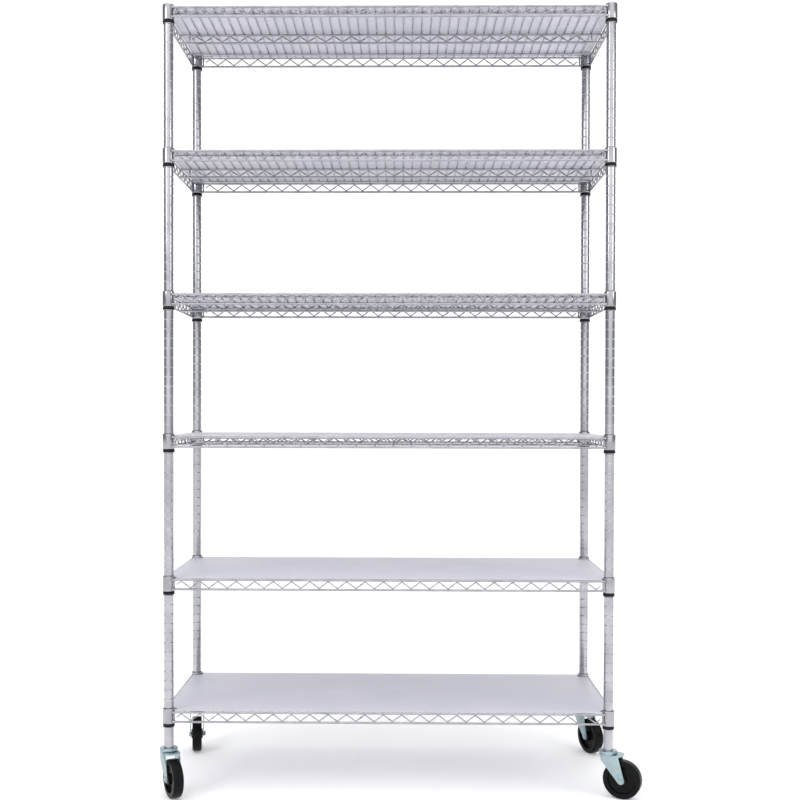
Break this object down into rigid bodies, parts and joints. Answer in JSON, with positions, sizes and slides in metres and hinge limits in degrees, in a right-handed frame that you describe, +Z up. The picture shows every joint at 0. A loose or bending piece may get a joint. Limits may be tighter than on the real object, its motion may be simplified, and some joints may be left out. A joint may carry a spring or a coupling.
{
  "type": "wire shelf cart",
  "caption": "Tall mobile storage unit: chromed wire shelves with plastic liners, clamped on grooved posts by tapered sleeves, standing on swivel casters.",
  "frame": {"origin": "on the floor, midway between the four posts", "axes": "+X along the shelves, -Y towards the front, +Z up"},
  "size_m": [1.2877, 0.5327, 2.1116],
  "materials": {
    "chromed_wire": "bright chrome plate",
    "chromed_tube": "bright chrome plate",
    "cap_metal": "bright chrome plate",
    "zinc_plate": "blue-white zinc plate",
    "plain_steel": "plain",
    "sleeve_plastic": "moulded black",
    "liner_plastic": "frosted translucent sheet",
    "wheel_rubber": "moulded black"
  },
  "bodies": {
    "frame": {"shelf_1": "chromed_wire", "liner_1": "liner_plastic", "shelf_2": "chromed_wire", "liner_2": "liner_plastic", "shelf_3": "chromed_wire", "liner_3": "liner_plastic", "shelf_4": "chromed_wire", "liner_4": "liner_plastic", "shelf_5": "chromed_wire", "liner_5": "liner_plastic", "shelf_6": "chromed_wire", "liner_6": "liner_plastic", "sleeves_left_low": "sleeve_plastic", "sleeves_left_middle": "sleeve_plastic", "sleeves_left_top": "sleeve_plastic", "sleeves_right_low": "sleeve_plastic", "sleeves_right_middle": "sleeve_plastic", "sleeves_right_top": "sleeve_plastic", "lower_post_front_left": "chromed_tube", "upper_post_front_left": "chromed_tube", "lower_post_front_right": "chromed_tube", "upper_post_front_right": "chromed_tube", "lower_post_back_left": "chromed_tube", "upper_post_back_left": "chromed_tube", "lower_post_back_right": "chromed_tube", "upper_post_back_right": "chromed_tube", "post_caps": "cap_metal", "post_studs": "plain_steel", "post_inserts": "plain_steel", "swivel_balls": "plain_steel", "stem_front_left": "plain_steel", "race_cup_front_left": "zinc_plate", "stem_front_right": "plain_steel", "race_cup_front_right": "zinc_plate", "stem_back_left": "plain_steel", "race_cup_back_left": "zinc_plate", "stem_back_right": "plain_steel", "race_cup_back_right": "zinc_plate"},
    "swivel_front_left": {"yoke_front_left": "zinc_plate", "axle_bolt_front_left": "zinc_plate", "axle_nut_front_left": "zinc_plate", "axle_bush_front_left": "plain_steel"},
    "rolling_front_left": {"wheel_front_left": "wheel_rubber"},
    "swivel_front_right": {"yoke_front_right": "zinc_plate", "axle_bolt_front_right": "zinc_plate", "axle_nut_front_right": "zinc_plate", "axle_bush_front_right": "plain_steel"},
    "rolling_front_right": {"wheel_front_right": "wheel_rubber"},
    "swivel_back_left": {"yoke_back_left": "zinc_plate", "axle_bolt_back_left": "zinc_plate", "axle_nut_back_left": "zinc_plate", "axle_bush_back_left": "plain_steel"},
    "rolling_back_left": {"wheel_back_left": "wheel_rubber"},
    "swivel_back_right": {"yoke_back_right": "zinc_plate", "axle_bolt_back_right": "zinc_plate", "axle_nut_back_right": "zinc_plate", "axle_bush_back_right": "plain_steel"},
    "rolling_back_right": {"wheel_back_right": "wheel_rubber"}
  },
  "joints": [
    {"name": "swivel_turn_front_left", "type": "hinge", "parent": "frame", "child": "swivel_front_left", "pos_m": [-0.589, -0.2125, 0.116], "axis": [0, 0, 1], "continuous": true},
    {"name": "wheel_spin_front_left", "type": "hinge", "parent": "swivel_front_left", "child": "rolling_front_left", "pos_m": [-0.57009, -0.24661, 0.0508], "axis": [0.8746, 0.4848, 0], "continuous": true},
    {"name": "swivel_turn_front_right", "type": "hinge", "parent": "frame", "child": "swivel_front_right", "pos_m": [0.589, -0.2125, 0.116], "axis": [0, 0, 1], "continuous": true},
    {"name": "wheel_spin_front_right", "type": "hinge", "parent": "swivel_front_right", "child": "rolling_front_right", "pos_m": [0.62435, -0.22898, 0.0508], "axis": [0.4226, 0.9063, 0], "continuous": true},
    {"name": "swivel_turn_back_left", "type": "hinge", "parent": "frame", "child": "swivel_back_left", "pos_m": [-0.589, 0.2125, 0.116], "axis": [0, 0, 1], "continuous": true},
    {"name": "wheel_spin_back_left", "type": "hinge", "parent": "swivel_back_left", "child": "rolling_back_left", "pos_m": [-0.58223, 0.17409, 0.0508], "axis": [0.9848, 0.1736, 0], "continuous": true},
    {"name": "swivel_turn_back_right", "type": "hinge", "parent": "frame", "child": "swivel_back_right", "pos_m": [0.589, 0.2125, 0.116], "axis": [0, 0, 1], "continuous": true},
    {"name": "wheel_spin_back_right", "type": "hinge", "parent": "swivel_back_right", "child": "rolling_back_right", "pos_m": [0.60548, 0.17715, 0.0508], "axis": [0.9063, 0.4226, 0], "continuous": true}
  ]
}
